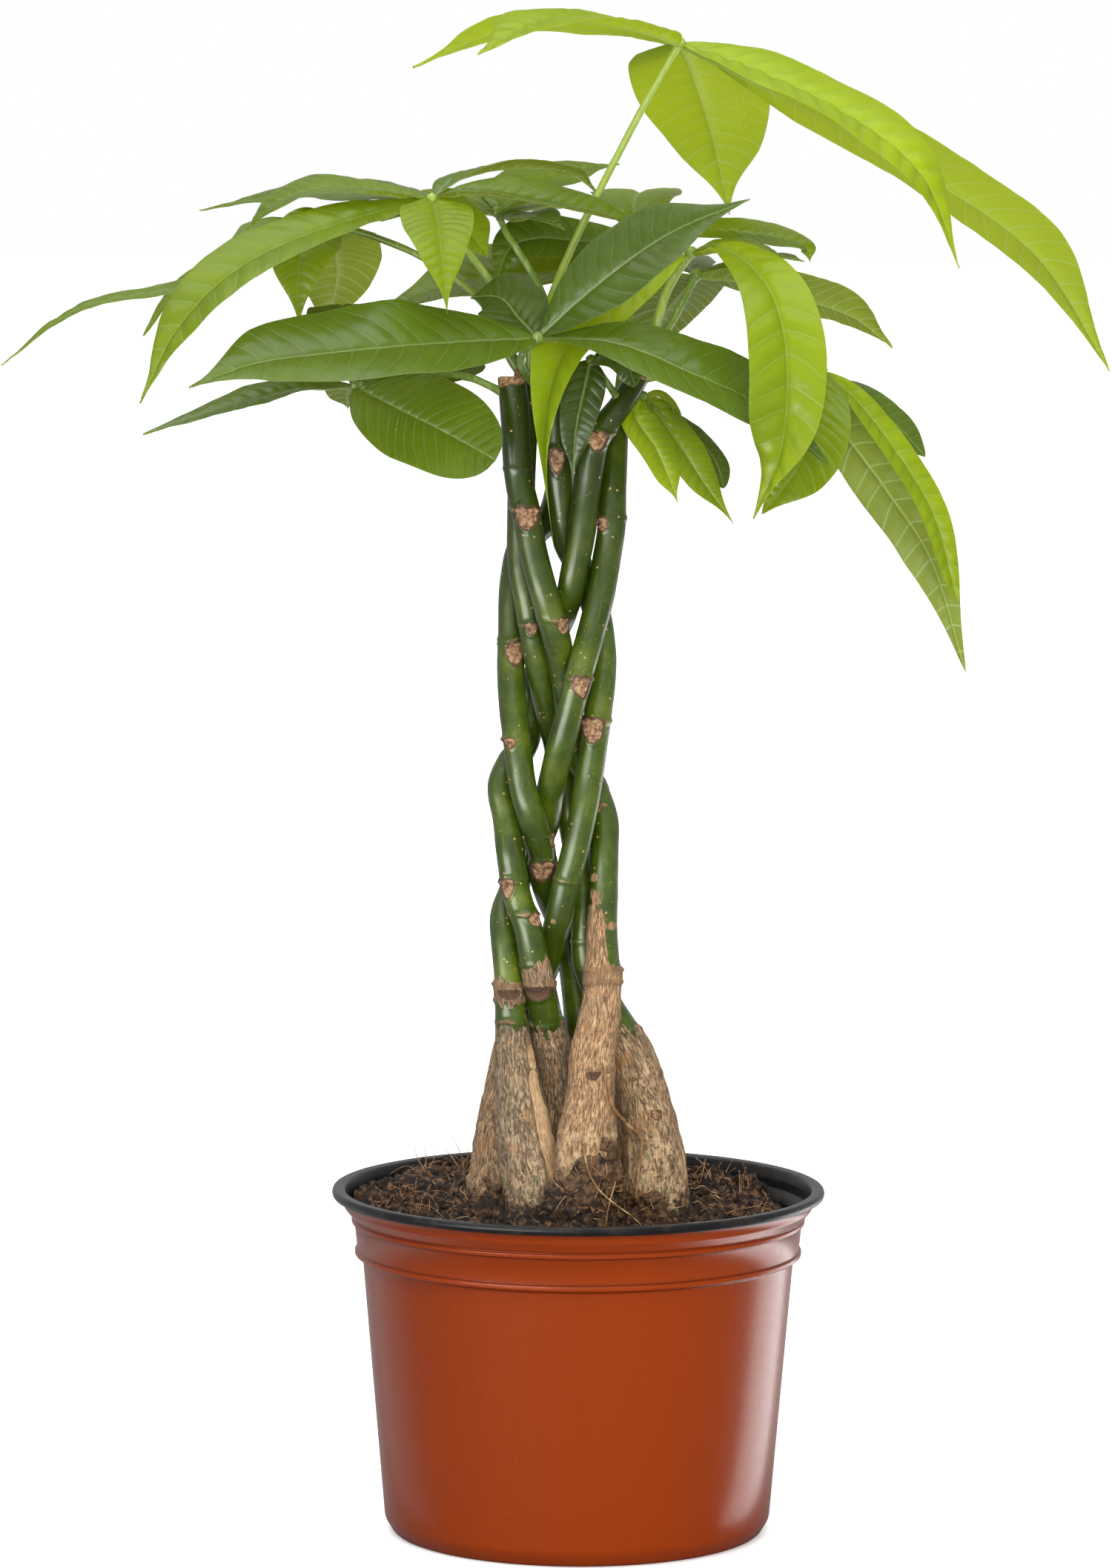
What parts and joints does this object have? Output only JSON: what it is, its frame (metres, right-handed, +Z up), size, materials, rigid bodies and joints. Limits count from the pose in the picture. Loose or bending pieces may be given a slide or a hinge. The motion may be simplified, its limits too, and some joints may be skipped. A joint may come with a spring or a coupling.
{
  "type": "potted money tree",
  "caption": "House plant with a braided trunk of slim stems that swell at the foot, a crown of hand-shaped leaves, and a round plastic nursery pot of peat.",
  "frame": {"origin": "centre of the pot's flat underside", "axes": "+Z up along the pot's axis; -Y is the front, the side the picture sees; +X is to the right seen from the front"},
  "size_m": [0.3827, 0.203, 0.5242],
  "materials": {
    "pot_plastic": "terracotta-coloured moulded plastic with a satin sheen, black inside and on the rim",
    "peat": "dark crumbly peat with light fibres",
    "bark": "smooth green bark, corky and brown on the swollen feet, with brown leaf scars",
    "leaf": "glossy green leaf, deep green when old and yellow-green when young, paler underneath"
  },
  "bodies": {
    "root": {"pot": "pot_plastic", "soil": "peat", "stem_front": "bark", "stem_middle": "bark", "stem_back": "bark", "stem_right": "bark", "stem_left_back": "bark", "stem_left_front": "bark", "leaf_top": "leaf", "leaf_front": "leaf", "leaf_young": "leaf", "leaf_right": "leaf", "leaf_back": "leaf", "leaf_left_high": "leaf", "leaf_middle_high": "leaf", "leaf_left_far": "leaf", "leaf_left_low": "leaf", "leaf_right_low": "leaf", "leaf_small": "leaf", "leaf_hanging": "leaf"}
  },
  "joints": []
}
